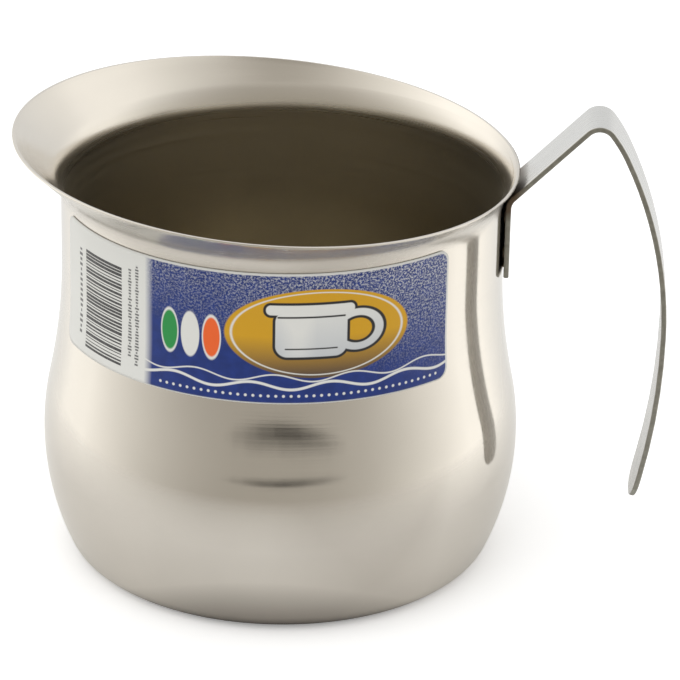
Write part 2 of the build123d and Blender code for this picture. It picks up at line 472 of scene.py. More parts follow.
def sheet_profile(sheet):
    """The closed section of the wall as points of (radius, height, share of the lip, is inside)."""
    outer, lip = sheet_line(sheet, 0.0)
    inner, _ = sheet_line(sheet, sheet.wall)
    low, high = outer[lip - 1][1], sheet.rim_height
    outer_round = rounded_corner(outer[-2], outer[-1], inner[-1], sheet.rim_round)
    inner_round = rounded_corner(outer[-1], inner[-1], inner[-2], sheet.rim_round)

    def marked(points, inside):
        return [(*point, min(max((point[1] - low) / (high - low), 0), 1), inside) for point in points]

    rows = marked(outer[:-1], 0) + [(*point, 1, 0) for point in outer_round + inner_round]
    return rows + marked(inner[-2::-1], 1)


def profile_object(name, rows):
    """The section as a row of edges, which carries what the spinning needs to know of each point."""
    mesh = bpy.data.meshes.new(name)
    edges = [(k, k + 1) for k in range(len(rows) - 1)]
    mesh.from_pydata([(radius, height, 0) for radius, height, _, _ in rows], edges, [])
    lip_share = mesh.attributes.new("lip_share", "FLOAT", "POINT")
    inside = mesh.attributes.new("inside", "FLOAT", "POINT")
    run = mesh.attributes.new("sheet_run", "FLOAT", "POINT")
    gone = 0.0
    for k, row in enumerate(rows):
        if k:
            gone += (Vector(row[:2]) - Vector(rows[k - 1][:2])).length
        lip_share.data[k].value, inside.data[k].value, run.data[k].value = row[2], row[3], gone
    piece = bpy.data.objects.new(name, mesh)
    bpy.context.scene.collection.objects.link(piece)
    return piece


def spinning_tree():
    """Spins a section about the Z axis, then runs its lip up or down its own slope to the rim's plane."""
    tree = bpy.data.node_groups.new("Spun Sheet", "GeometryNodeTree")
    inputs = (("Geometry", "NodeSocketGeometry"), ("Steps Around", "NodeSocketInt"),
              ("Rim Slant", "NodeSocketFloat"), ("Flare Turn", "NodeSocketFloat"),
              ("Finish", "NodeSocketMaterial"))
    for name, kind in inputs:
        tree.interface.new_socket(name, in_out="INPUT", socket_type=kind)
    tree.interface.new_socket("Geometry", in_out="OUTPUT", socket_type="NodeSocketGeometry")
    given = tree.nodes.new("NodeGroupInput").outputs
    sums = Sums(tree)
    section = put(tree, "GeometryNodeMeshToCurve", {0: given["Geometry"]})
    path = put(tree, "GeometryNodeCurvePrimitiveCircle",
               {"Resolution": given["Steps Around"], "Radius": 1.0})
    spun = put(tree, "GeometryNodeCurveToMesh",
               {"Curve": path.outputs[0], "Profile Curve": section.outputs[0]})
    at = put(tree, "ShaderNodeSeparateXYZ", {0: put(tree, "GeometryNodeInputPosition").outputs[0]}).outputs
    far = sums.length(at[0], at[1])
    across, along = sums.over(at[0], far), sums.over(at[1], far)
    radius = sums.less(far, 1.0)
    upright = sums.vector(sums.times(across, radius), sums.times(along, radius), sums.times(at[2], -1.0))
    inward = put(tree, "GeometryNodeSetPosition", {"Geometry": spun.outputs[0], "Position": upright})
    slide = lip_slide(tree, sums, given)
    trimmed = put(tree, "GeometryNodeSetPosition", {"Geometry": inward.outputs[0], "Offset": slide})
    joined = put(tree, "GeometryNodeMergeByDistance", {"Geometry": trimmed.outputs[0], "Distance": 1e-7})
    smooth = put(tree, "GeometryNodeSetShadeSmooth", {"Geometry": joined.outputs[0]})
    real = put(tree, "GeometryNodeRealizeInstances", {0: smooth.outputs[0]})
    done = put(tree, "GeometryNodeSetMaterial", {"Geometry": real.outputs[0], "Material": given["Finish"]})
    out = tree.nodes.new("NodeGroupOutput")
    tree.links.new(done.outputs[0], out.inputs[0])
    return tree


def lip_slide(tree, sums, given):
    """How far each point slides along the lip, so that the lip's end comes to lie in the slanted plane."""
    at = put(tree, "ShaderNodeSeparateXYZ", {0: put(tree, "GeometryNodeInputPosition").outputs[0]}).outputs
    radius = sums.length(at[0], at[1])
    across, along = sums.over(at[0], radius), sums.over(at[1], radius)
    slant = sums.math("TANGENT", given["Rim Slant"])
    reach, rise = sums.math("SINE", given["Flare Turn"]), sums.math("COSINE", given["Flare Turn"])
    fall = sums.times(sums.times(slant, at[0]), -1.0)
    meet = sums.add(rise, sums.times(sums.times(slant, reach), across))
    lip_share = put(tree, "GeometryNodeInputNamedAttribute", {0: "lip_share"}, data_type="FLOAT").outputs[0]
    run = sums.times(sums.over(fall, meet), lip_share)
    outward = sums.times(run, reach)
    return sums.vector(sums.times(outward, across), sums.times(outward, along), sums.times(run, rise))


def applied(piece, tree, values):
    """Runs a node tree on a piece with its inputs set by name, and keeps the result as a plain mesh."""
    modifier = piece.modifiers.new(tree.name, "NODES")
    modifier.node_group = tree
    for item in tree.interface.items_tree:
        if item.in_out == "INPUT" and item.name in values:
            modifier[item.identifier] = values[item.name]
    bpy.context.view_layer.update()
    evaluated = piece.evaluated_get(bpy.context.evaluated_depsgraph_get())
    mesh = bpy.data.meshes.new_from_object(evaluated)
    piece.modifiers.remove(modifier)
    mesh.name = piece.name
    piece.data = mesh
    return piece


def face_outward(piece):
    """Turns all faces of a closed piece round where they point inward."""
    work = bmesh.new()
    work.from_mesh(piece.data)
    if work.calc_volume(signed=True) < 0:
        bmesh.ops.reverse_faces(work, faces=work.faces)
    work.to_mesh(piece.data)
    work.free()


class MILKPAN_OT_spin_body(bpy.types.Operator):
    """Spin the drawn body with its flared and slanted mouth"""
    bl_idname = "milk_pan.spin_body"
    bl_label = "Spin Body"

    def execute(self, context):
        sheet, finish = context.scene.milk_pan_sheet, context.scene.milk_pan_finish
        body = profile_object("pan_sheet", sheet_profile(sheet))
        applied(body, spinning_tree(), {
            "Steps Around": sheet.steps_around, "Rim Slant": sheet.rim_slant,
            "Flare Turn": sheet.flare_turn, "Finish": polished_steel(finish)})
        face_outward(body)
        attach(body, "root")
        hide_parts("pan_body")
        return {"FINISHED"}


# Handle

def strip_runs(handle):
    """The strip's straight runs and bends in order, each as a length and a radius of its outer face."""
    grip_turn = pi - handle.slant_turn - handle.apex_turn - handle.upper_turn
    return [
        (handle.leg_length, None),
        (handle.root_bend * handle.slant_turn, handle.root_bend),
        (handle.slant_length, None),
        (handle.apex_bend * handle.apex_turn, handle.apex_bend),
        (handle.upper_sweep * handle.upper_turn, handle.upper_sweep),
        (handle.grip_sweep * grip_turn, handle.grip_sweep),
        (handle.tail_sweep * handle.tail_turn + handle.tip_reach, handle.tail_sweep),
    ]


def on_strip(start, runs, reach, depth):
    """Radius and height of the strip at a reach along its outer face and at a depth below it."""
    radius, height = start
    heading = pi / 2
    for run, bend in runs:
        part = min(reach, run)
        turned = part / bend if bend else 0.0
        chord = 2 * bend * sin(turned / 2) if bend else part
        radius += chord * cos(heading - turned / 2)
        height += chord * sin(heading - turned / 2)
        heading -= turned
        reach -= part
    return radius + depth * sin(heading), height - depth * cos(heading)


def strip_outline(handle, runs):
    """Half of the flat strip's outline, as (reach, half width, outward along, outward across)."""
    half, corner, tip = handle.strip_width / 2, handle.leg_corner, handle.tip_round
    whole = sum(run for run, _ in runs)
    quarter, bend_step = pi / 2, radians(2.5)
    run_step, leg_step = 5 * MM, 0.5 * MM
    outline = [(corner * (1 - cos(a)), half - corner * (1 - sin(a)), -cos(a), sin(a))
               for a in spread(0, quarter, 6)]
    start = 0.0
    for run, bend in runs:
        finest = bend * bend_step if bend else run_step
        step = finest if start else leg_step
        for reach in spread(start, start + run, ceil(run / step))[1:]:
            if corner < reach < whole - tip - MM / 4:
                outline.append((reach, half, 0.0, 1.0))
        start += run
    outline += [(whole - tip * (1 - sin(a)), half - tip * (1 - cos(a)), sin(a), cos(a))
                for a in spread(0, quarter, 20)]
    return outline


def edge_rings(handle):
    """The rounded edge from the outer to the inner face, as (inset, depth)."""
    turns = spread(0, pi / 2, 4)
    soft = handle.edge_round
    outer = [(soft * (1 - sin(a)), soft * (1 - cos(a))) for a in turns]
    return outer + [(inset, handle.strip_thickness - depth) for inset, depth in reversed(outer)]


def weld_dish(handle, weld_spots, y, z):
    """Depth of the welding tips' marks at a place on the leg's bare face."""
    tip = (handle.mark_diameter ** 2 / 4 + handle.mark_depth ** 2) / (2 * handle.mark_depth)
    nearest = min((y - spot_y) ** 2 + (z - spot_z) ** 2 for spot_y, spot_z in weld_spots)
    return max(handle.mark_depth - nearest / (2 * tip), 0.0)


def box_faces(counts, vertex):
    """The six sides of a lattice of corners as faces with four corners each."""
    faces = []
    for fixed in range(3):
        first, second = [axis for axis in range(3) if axis != fixed]
        for end in (0, counts[fixed]):
            for a in range(counts[first]):
                for b in range(counts[second]):
                    corners = []
                    for da, db in ((0, 0), (1, 0), (1, 1), (0, 1)):
                        place = [0, 0, 0]
                        place[fixed], place[first], place[second] = end, a + da, b + db
                        corners.append(vertex(*place))
                    faces.append(corners)
    return faces


def strip_mesh(handle, start, weld_spots):
    """The bent strip with a round free end and soft edges, as the skin of a bent lattice."""
    runs = strip_runs(handle)
    outline, rings = strip_outline(handle, runs), edge_rings(handle)
    near_edge_share = 0.985
    across = sorted(spread(-1, 1, 34) + [-near_edge_share, near_edge_share])
    points, cut, known = [], [], {}

    def vertex(station, ring, column):
        key = station, ring, column
        if key not in known:
            reach, half, along, over = outline[station]
            inset, depth = rings[ring]
            y = across[column] * (half - inset * over)
            x, z = on_strip(start, runs, reach - inset * along, depth)
            if ring == len(rings) - 1 and reach < handle.leg_length:
                x -= weld_dish(handle, weld_spots, y, z)
            known[key] = len(points)
            points.append((x, y, z))
            cut.append(1 - inset / handle.edge_round)
        return known[key]

    faces = box_faces((len(outline) - 1, len(rings) - 1, len(across) - 1), vertex)
    mesh = bpy.data.meshes.new("bent_strip")
    mesh.from_pydata(points, [], faces)
    mesh.attributes.new("cut_edge", "FLOAT", "POINT").data.foreach_set("value", cut)
    mesh.shade_smooth()
    return mesh


def seam_mesh(inner, outer, foot, head):
    """An uneven bead of weld metal along the line where the flat leg meets the round neck."""
    steps, half_width, outer_share = 60, 0.9 * MM, 0.8
    swing, ripple = 0.25 * MM, 0.12 * MM
    points = []
    for height in spread(foot, head, steps):
        half = half_width + swing * sin(height / MM * 1.9) + ripple * sin(height / MM * 5.3)
        narrow = outer_share * half
        for x, y in ((inner, -half), (inner, half), (outer, narrow), (outer, -narrow)):
            points.append((x, y, height))
    faces = [(4 * k + j, 4 * k + (j + 1) % 4, 4 * k + 4 + (j + 1) % 4, 4 * k + 4 + j)
             for k in range(steps) for j in range(4)]
    faces += [(3, 2, 1, 0), tuple(4 * steps + j for j in range(4))]
    mesh = bpy.data.meshes.new("weld_seam")
    mesh.from_pydata(points, [], faces)
    return mesh


def add_piece(mesh, material):
    """A closed mesh as a piece of the pan, with its faces turned outward."""
    piece = bpy.data.objects.new(mesh.name, mesh)
    bpy.context.scene.collection.objects.link(piece)
    mesh.materials.append(material)
    work = bmesh.new()
    work.from_mesh(mesh)
    bmesh.ops.recalc_face_normals(work, faces=work.faces)
    work.to_mesh(mesh)
    work.free()
    face_outward(piece)
    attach(piece, "root")
    return piece


class MILKPAN_OT_bend_handle(bpy.types.Operator):
    """Bend the handle's strip, and close and stain the joint behind its leg"""
    bl_idname = "milk_pan.bend_handle"
    bl_label = "Bend Handle"

    def execute(self, context):
        scene = context.scene
        handle, finish = scene.milk_pan_handle, scene.milk_pan_finish
        neck_top = sheet_turns(scene.milk_pan_sheet)[-1]
        neck = scene.milk_pan_sheet.neck_radius
        leg_x = neck + handle.weld_standoff
        low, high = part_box("spot_welds")
        nugget = handle.weld_diameter / 2
        weld_spots = ((0.0, low[2] + nugget), (0.0, high[2] - nugget))
        weld = weld_steel(finish)
        strip = add_piece(strip_mesh(handle, (leg_x, neck_top - handle.leg_length), weld_spots),
                          strip_steel(finish, weld_spots))
        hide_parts("handle_strip")
        bite_neck, bite_leg, below_weld = 0.04 * MM, 0.02 * MM, 3 * MM
        seam = seam_mesh(neck - bite_neck, leg_x + bite_leg, low[2] - below_weld, neck_top)
        add_piece(seam, weld)
        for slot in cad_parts["spot_welds"].material_slots:
            slot.material = weld
        return {"FINISHED"}


# Label

def film_place(sheet, label, along, up, lift):
    """The point of the body at a place of the film, with a lift off the steel."""
    _, _, _, shoulder_bend, neck_top = sheet_turns(sheet)
    height = label.foot_height + up
    below = max(neck_top - sheet.neck_length - height, 0)
    above = max(height - neck_top, 0)
    radius = sheet.neck_radius + lift
    radius += shoulder_bend - sqrt(shoulder_bend ** 2 - below ** 2)
    radius += sheet.flare_bend - sqrt(sheet.flare_bend ** 2 - above ** 2)
    angle = (label.right_reach - label.label_length + along) / sheet.neck_radius - pi / 2
    return radius * cos(angle), radius * sin(angle), height


def film_columns(label):
    """Places along the film, closer together where its corners are round."""
    turns = [pi / 2 * k / 8 for k in range(9)]
    left = [label.corner * (1 - cos(angle)) for angle in turns]
    middle = spread(label.corner, label.label_length - label.corner, label.steps_along)
    right = [label.label_length - place for place in reversed(left)]
    return left + middle[1:-1] + right


def film_mesh(sheet, label):
    """The film as a sheet of faces on the body. Each point keeps its flat place in millimetres."""
    columns = film_columns(label)
    points, flat = [], []
    lift = label.glue + label.thickness
    for along in columns:
        in_from_end = min(along, label.label_length - along, label.corner)
        cut = label.corner - sqrt(label.corner ** 2 - (label.corner - in_from_end) ** 2)
        for up in spread(cut, label.label_height - cut, label.steps_up):
            points.append(film_place(sheet, label, along, up, lift))
            flat.append((along / MM, up / MM, 0))
    row = label.steps_up + 1
    faces = [(k * row + j, (k + 1) * row + j, (k + 1) * row + j + 1, k * row + j + 1)
             for k in range(len(columns) - 1) for j in range(label.steps_up)]
    mesh = bpy.data.meshes.new("label_film")
    mesh.from_pydata(points, [], faces)
    place = mesh.attributes.new("film_place", "FLOAT_VECTOR", "POINT")
    place.data.foreach_set("vector", [part for spot in flat for part in spot])
    mesh.shade_smooth()
    return mesh


class Print(Sums):
    """Soft-edged printed shapes on the film, in millimetres."""

    def __init__(self, tree, along, up):
        super().__init__(tree)
        self.along, self.up = along, up
        self.edge = 0.12

    def filled(self, distance):
        """Full where the distance to the shape's edge is negative."""
        return self.ramp(distance, -self.edge, self.edge, 1.0, 0.0)

    def most(self, *distances):
        """The part that all shapes share."""
        whole = distances[0]
        for one in distances[1:]:
            whole = self.math("MAXIMUM", whole, one)
        return whole

    def any(self, *distances):
        """All the shapes together."""
        whole = distances[0]
        for one in distances[1:]:
            whole = self.math("MINIMUM", whole, one)
        return whole

    def off(self, value, middle):
        return self.math("ABSOLUTE", self.less(value, middle))

    def box(self, left, foot, right, head, corner):
        """Distance to the edge of a box with round corners."""
        across = self.less(self.off(self.along, (left + right) / 2), (right - left) / 2 - corner)
        over = self.less(self.off(self.up, (foot + head) / 2), (head - foot) / 2 - corner)
        out = self.length(self.math("MAXIMUM", across, 0.0), self.math("MAXIMUM", over, 0.0))
        within = self.math("MINIMUM", self.most(across, over), 0.0)
        return self.less(self.add(out, within), corner)

    def oval(self, middle, height, wide, high):
        """Distance to the edge of an oval, near enough for a thin line along it."""
        across = self.over(self.less(self.along, middle), wide)
        over = self.over(self.less(self.up, height), high)
        return self.times(self.less(self.length(across, over), 1.0), min(wide, high))

    def wave(self, height, swing, span, start, width):
        """Distance to the edge of a line that swings up and down."""
        angle = self.times(self.less(self.along, start), 2 * pi / span)
        line = self.add(self.times(self.math("SINE", angle), swing), height)
        return self.less(self.off(self.up, line), width / 2)

    def line(self, distance, width):
        """A line of a width along a shape's edge."""
        return self.less(self.math("ABSOLUTE", distance), width / 2)

    def cell(self, value, start, pitch):
        """The place from the middle of the nearest of many equal cells, and that cell's number."""
        count = self.over(self.less(value, start), pitch)
        return self.times(self.less(self.math("FRACT", count), 0.5), pitch), self.math("FLOOR", count)

    def dots(self, left, right, height, pitch, radius):
        """A row of round dots."""
        across, _ = self.cell(self.along, left, pitch)
        dot = self.less(self.length(across, self.less(self.up, height)), radius)
        return self.most(dot, self.less(self.off(self.along, (left + right) / 2), (right - left) / 2))

    def ticks(self, middle, foot, head, pitch, widest):
        """A column of short ticks of uneven length, one above the other."""
        over, number = self.cell(self.up, foot, pitch)
        chance = put(self.tree, "ShaderNodeTexWhiteNoise", {"W": number}, noise_dimensions="1D")
        chance = chance.outputs["Value"]
        long = self.times(self.ramp(chance, 0.0, 1.0, 0.35, 1.0), widest / 2)
        tick = self.most(self.less(self.off(self.along, middle), long),
                         self.less(self.math("ABSOLUTE", over), pitch * 0.28))
        return self.most(tick, self.less(self.off(self.up, (foot + head) / 2), (head - foot) / 2))


def lay(shapes, shade, distance, ink):
    """Prints a shape over what is there, in a plain ink or in a shade made before."""
    over = ink if isinstance(ink, bpy.types.NodeSocket) else opaque(ink)
    return shapes.mix(shapes.filled(distance), shade, over)


def blue_field(shapes, tree, place, finish):
    """Blue with a cloud of pale specks that thickens towards its upper right corner."""
    specks = noise(tree, place, 1.7, detail=3.0, roughness=0.75)
    cloud = noise(tree, place, 0.05, detail=1.0)
    rise = shapes.ramp(shapes.add(shapes.up, shapes.times(shapes.along, 0.22)), 28.0, 58.0)
    amount = shapes.times(rise, shapes.ramp(cloud, 0.2, 0.6, 0.7, 1.0))
    speckle = shapes.times(shapes.ramp(specks, 0.47, 0.6), amount)
    mottled = shapes.mix(shapes.ramp(noise(tree, place, 0.35, detail=2.0), 0.3, 0.7),
                         opaque(finish.blue), opaque(tuple(0.75 * part for part in finish.blue)))
    return shapes.mix(shapes.times(speckle, 0.8), mottled, opaque(finish.film))


def pan_mark(shapes, finish, shade, middle):
    """A silver pan with a dark outline on an ochre oval that darkens towards its foot."""
    sun = shapes.oval(middle, 19.8, 25.0, 12.6)
    fade = shapes.ramp(shapes.up, 8.5, 19.0)
    shade = lay(shapes, shade, sun, shapes.mix(fade, opaque(finish.brown), opaque(finish.ochre)))
    shade = lay(shapes, shade, shapes.line(shapes.add(sun, 0.9), 0.3), finish.film)
    pot = shapes.box(middle - 11.5, 13.2, middle + 7.5, 26.5, 3.2)
    lip = shapes.box(middle - 14.0, 25.2, middle + 9.5, 28.0, 1.3)
    grip = shapes.line(shapes.oval(middle + 10.5, 20.2, 6.0, 4.9), 2.0)
    mark = shapes.any(pot, lip, grip)
    shade = lay(shapes, shade, shapes.less(mark, 0.75), finish.ink)
    glow = shapes.ramp(shapes.up, 13.0, 27.0)
    sheen = shapes.ramp(shapes.off(shapes.along, middle - 5.5), 1.0, 5.0, 0.5, 0.0)
    shine = shapes.math("ADD", glow, sheen, clamp=True)
    metal = shapes.mix(shine, opaque(finish.silver), opaque(finish.film))
    shade = lay(shapes, shade, mark, metal)
    fold = shapes.box(middle - 11.0, 24.3, middle + 7.0, 24.8, 0.2)
    groove = shapes.box(middle - 9.0, 15.3, middle + 5.0, 15.7, 0.2)
    return lay(shapes, shade, shapes.any(fold, groove), finish.ink)


def printed_film(finish):
    """Glossy film: a blue field with a speckled corner, a pan on an ochre oval, drops, waves and dots.
    Places on the film are in millimetres from its left end and its foot."""
    mark_middle, field_left, field_full = 84.0, 35.6, 38.2
    dots_left, dots_right, dots_height = 40.0, 119.6, 2.2
    drop_height, drop_wide, drop_high, drop_rim = 17.5, 2.3, 5.6, 0.35
    material, tree, shader, _ = new_material("printed_film", Coat_Weight=0.12, Coat_Roughness=0.1,
                                             Specular_IOR_Level=0.3)
    place = put(tree, "ShaderNodeAttribute", attribute_name="film_place").outputs["Vector"]
    at = put(tree, "ShaderNodeSeparateXYZ", {0: place}).outputs
    shapes = Print(tree, at[0], at[1])
    shade = blue_field(shapes, tree, place, finish)
    shade = pan_mark(shapes, finish, shade, mark_middle)
    for height, start, width in ((5.0, 40.0, 0.75), (7.2, 46.0, 0.4)):
        shade = lay(shapes, shade, shapes.wave(height, 1.0, 21.0, start, width), finish.film)
    shade = lay(shapes, shade, shapes.dots(dots_left, dots_right, dots_height, 1.99, 0.38), finish.film)
    for middle, ink in ((43.5, finish.green), (49.5, finish.film), (55.5, finish.orange)):
        drop = shapes.oval(middle, drop_height, drop_wide, drop_high)
        shade = lay(shapes, shade, shapes.less(drop, drop_rim), finish.film)
        shade = lay(shapes, shade, drop, ink)
    field = shapes.box(30.0, 0.3, 122.4, 36.3, 3.0)
    fade = shapes.times(shapes.filled(field), shapes.ramp(at[0], field_left, field_full))
    shade = shapes.mix(fade, opaque(finish.film), shade)
    code = shapes.any(shapes.ticks(30.4, 6.0, 31.5, 0.85, 1.5), shapes.ticks(32.9, 4.0, 33.0, 0.85, 1.5),
                      shapes.ticks(8.4, 5.0, 30.0, 1.5, 1.8))
    shade = lay(shapes, shade, code, tuple(part + 0.08 for part in finish.ink))
    tree.links.new(shade, shader.inputs["Base Color"])
    gloss = noise(tree, place, 0.12, detail=3.0)
    tree.links.new(shapes.ramp(gloss, 0.3, 0.7, 0.3, 0.42), shader.inputs["Roughness"])
    relief = shapes.add(noise(tree, place, 0.2, detail=1.0), shapes.times(gloss, 0.3))
    bump(tree, shader, relief, 0.15, 0.3 * MM)
    return material


def bar_ink(finish):
    """Matt black print."""
    material, tree, shader, sums = new_material("bar_ink")
    place = put(tree, "ShaderNodeTexCoord").outputs["Object"]
    worn = noise(tree, place, 1500.0, detail=2.0)
    faded = tuple(part + 0.06 for part in finish.ink)
    tint = sums.mix(sums.ramp(worn, 0.4, 0.7), opaque(finish.ink), opaque(faded))
    tree.links.new(tint, shader.inputs["Base Color"])
    tree.links.new(sums.ramp(worn, 0.3, 0.7, 0.35, 0.55), shader.inputs["Roughness"])
    bump(tree, shader, worn, 0.1, 0.00005)
    return material


def bar_tree():
    """A stack of bars of uneven width on the film, bent round the neck and the shoulder."""
    tree = bpy.data.node_groups.new("Printed Bars", "GeometryNodeTree")
    lengths = ("Bar Length", "Bar Stack", "Widest Bar", "Finest Bar", "Foot Height", "Neck Radius",
               "Shoulder Bend", "Shoulder Top", "Lift")
    tree.interface.new_socket("Geometry", in_out="INPUT", socket_type="NodeSocketGeometry")
    for name in ("Bars", "Seed"):
        tree.interface.new_socket(name, in_out="INPUT", socket_type="NodeSocketInt")
    for name in (*lengths, "Start Turn"):
        tree.interface.new_socket(name, in_out="INPUT", socket_type="NodeSocketFloat")
    tree.interface.new_socket("Finish", in_out="INPUT", socket_type="NodeSocketMaterial")
    tree.interface.new_socket("Geometry", in_out="OUTPUT", socket_type="NodeSocketGeometry")
    given = tree.nodes.new("NodeGroupInput").outputs
    sums = Sums(tree)
    pitch = sums.over(given["Bar Stack"], given["Bars"])
    steps = put(tree, "GeometryNodeMeshLine",
                {"Count": given["Bars"], "Offset": sums.vector(0.0, pitch, 0.0)})
    flat = put(tree, "GeometryNodeMeshGrid", {"Size X": given["Bar Length"], "Size Y": 1.0,
                                             "Vertices X": 25, "Vertices Y": 2})
    width = put(tree, "FunctionNodeRandomValue", {2: given["Finest Bar"], 3: given["Widest Bar"],
                                                  "Seed": given["Seed"]}, data_type="FLOAT")
    stack = put(tree, "GeometryNodeInstanceOnPoints",
                {"Points": steps.outputs[0], "Instance": flat.outputs[0],
                 "Scale": sums.vector(1.0, width.outputs[1], 1.0)})
    real = put(tree, "GeometryNodeRealizeInstances", {0: stack.outputs[0]})
    at = put(tree, "ShaderNodeSeparateXYZ", {0: put(tree, "GeometryNodeInputPosition").outputs[0]}).outputs
    height = sums.add(at[1], given["Foot Height"])
    below = sums.math("MAXIMUM", sums.less(given["Shoulder Top"], height), 0.0)
    bend = given["Shoulder Bend"]
    drop = sums.math("SQRT", sums.less(sums.times(bend, bend), sums.times(below, below)))
    radius = sums.add(sums.add(given["Neck Radius"], given["Lift"]), sums.less(bend, drop))
    reach = sums.add(at[0], sums.times(given["Bar Length"], 0.5))
    angle = sums.add(given["Start Turn"], sums.over(reach, given["Neck Radius"]))
    spot = sums.vector(sums.times(radius, sums.math("COSINE", angle)),
                       sums.times(radius, sums.math("SINE", angle)), height)
    bent = put(tree, "GeometryNodeSetPosition", {"Geometry": real.outputs[0], "Position": spot})
    smooth = put(tree, "GeometryNodeSetShadeSmooth", {"Geometry": bent.outputs[0]})
    done = put(tree, "GeometryNodeSetMaterial", {"Geometry": smooth.outputs[0], "Material": given["Finish"]})
    out = tree.nodes.new("NodeGroupOutput")
    tree.links.new(done.outputs[0], out.inputs[0])
    return tree


class MILKPAN_OT_wrap_label(bpy.types.Operator):
    """Wrap the printed film round the neck"""
    bl_idname = "milk_pan.wrap_label"
    bl_label = "Wrap Label"

    def execute(self, context):
        scene = context.scene
        label = scene.milk_pan_label
        film = bpy.data.objects.new("label_film", film_mesh(scene.milk_pan_sheet, label))
        scene.collection.objects.link(film)
        film.data.materials.append(printed_film(scene.milk_pan_finish))
        thick = film.modifiers.new("Thickness", "SOLIDIFY")
        thick.thickness = label.thickness
        thick.offset = -1
        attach(film, "root")
        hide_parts("label")
        return {"FINISHED"}


class MILKPAN_OT_print_bars(bpy.types.Operator):
    """Print the stack of bars on the film's white end"""
    bl_idname = "milk_pan.print_bars"
    bl_label = "Print Bars"

    def execute(self, context):
        scene = context.scene
        sheet, label = scene.milk_pan_sheet, scene.milk_pan_label
        _, _, _, shoulder_bend, neck_top = sheet_turns(sheet)
        bars = profile_object("label_bars", [(0, 0, 0, 0)])
        start = (label.right_reach - label.label_length + label.bar_left) / sheet.neck_radius - pi / 2
        applied(bars, bar_tree(), {
            "Bars": label.bar_count, "Seed": label.bar_seed, "Bar Length": label.bar_length,
            "Bar Stack": label.bar_stack, "Widest Bar": label.bar_widest, "Finest Bar": label.bar_finest,
            "Foot Height": label.foot_height + label.bar_foot, "Neck Radius": sheet.neck_radius,
            "Shoulder Bend": shoulder_bend, "Shoulder Top": neck_top - sheet.neck_length,
            "Lift": label.glue + label.thickness + label.ink_lift, "Start Turn": start,
            "Finish": bar_ink(scene.milk_pan_finish)})
        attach(bars, "root")
        return {"FINISHED"}


# Studio

def plain_mesh(name, points, faces):
    mesh = bpy.data.meshes.new(name)
    mesh.from_pydata(points, [], faces)
    piece = bpy.data.objects.new(name, mesh)
    bpy.context.scene.collection.objects.link(piece)
    return piece


def seen_rays(tree, sums, *kinds):
    """One where a ray is of one of the kinds."""
    path = put(tree, "ShaderNodeLightPath").outputs
    total = path[kinds[0]]
    for kind in kinds[1:]:
        total = sums.math("ADD", total, path[kind], clamp=True)
    return total


def floor_paint(studio):
    """White paper for the camera, and greyer in the steel, where a painted shadow darkens it near the base,
    most of all in front, and a fainter painted shadow lies to the pan's front right; it ends in a soft edge.
    For the camera it also glows a little, which keeps its shadow faint."""
    front, front_lean, camera_glow = 63 * MM, 0.5, 0.22
    contact_dark, contact_light = 56 * MM, 70 * MM
    shade_left, shade_right, shade_most = 0.0, 40 * MM, 0.2
    shade_back, shade_front = -40 * MM, -60 * MM
    paper_white, paper_shade, contact_shadow = (0.92, 0.91, 0.88), (0.3, 0.26, 0.22), (0.12, 0.1, 0.085)
    material, tree, shader, sums = new_material("studio_floor", Roughness=0.9)
    shader.inputs["Specular IOR Level"].default_value = 0.0
    at = put(tree, "ShaderNodeSeparateXYZ", {0: put(tree, "ShaderNodeTexCoord").outputs["Object"]}).outputs
    radius = sums.length(at[0], at[1])
    shown = seen_rays(tree, sums, "Is Camera Ray", "Is Transmission Ray")
    # Painted shadow that the steel sees, darkest at the base and reaching further in front
    aside = sums.times(sums.add(at[1], front), front_lean)
    under = sums.ramp(sums.add(radius, aside), contact_dark, contact_light)
    # Painted shadow to the front right of the pan
    right = sums.times(sums.ramp(at[0], shade_left, shade_right, 0.0, shade_most),
                       sums.ramp(at[1], shade_back, shade_front))
    paper = sums.mix(right, opaque(paper_white), opaque(paper_shade))
    below = sums.mix(under, opaque(contact_shadow), paper)
    tree.links.new(sums.mix(shown, below, opaque((1.0, 1.0, 1.0))), shader.inputs["Base Color"])
    tree.links.new(sums.times(shown, camera_glow), shader.inputs["Emission Strength"])
    away = sums.ramp(radius, studio.floor_near, studio.floor_far)
    gone = sums.times(away, seen_rays(tree, sums, "Is Glossy Ray"))
    clear = put(tree, "ShaderNodeBsdfTransparent")
    ends = put(tree, "ShaderNodeMixShader", {0: gone, 1: shader.outputs[0], 2: clear.outputs[0]})
    tree.links.new(ends.outputs[0], tree.nodes["Material Output"].inputs["Surface"])
    return material


def block_paint():
    """Dark brown with soft edges, so that the belly mirrors it as a smudge."""
    middle, half_width = 50 * MM, 220 * MM
    centre_height, half_height = 6 * MM, 18 * MM
    material, tree, shader, sums = new_material("dark_block", Roughness=1.0)
    shader.inputs["Base Color"].default_value = opaque((0.02, 0.017, 0.015))
    place = put(tree, "ShaderNodeTexCoord").outputs["Object"]
    at = put(tree, "ShaderNodeSeparateXYZ", {0: place}).outputs
    across = sums.over(sums.less(at[0], middle), half_width)
    over = sums.over(sums.less(at[2], centre_height), half_height)
    edge = sums.add(sums.length(across, over), sums.times(noise(tree, place, 40.0), 0.3))
    clear = put(tree, "ShaderNodeBsdfTransparent")
    fade = put(tree, "ShaderNodeMixShader", {0: sums.ramp(edge, 0.25, 1.15), 1: shader.outputs[0],
                                             2: clear.outputs[0]})
    tree.links.new(fade.outputs[0], tree.nodes["Material Output"].inputs["Surface"])
    return material


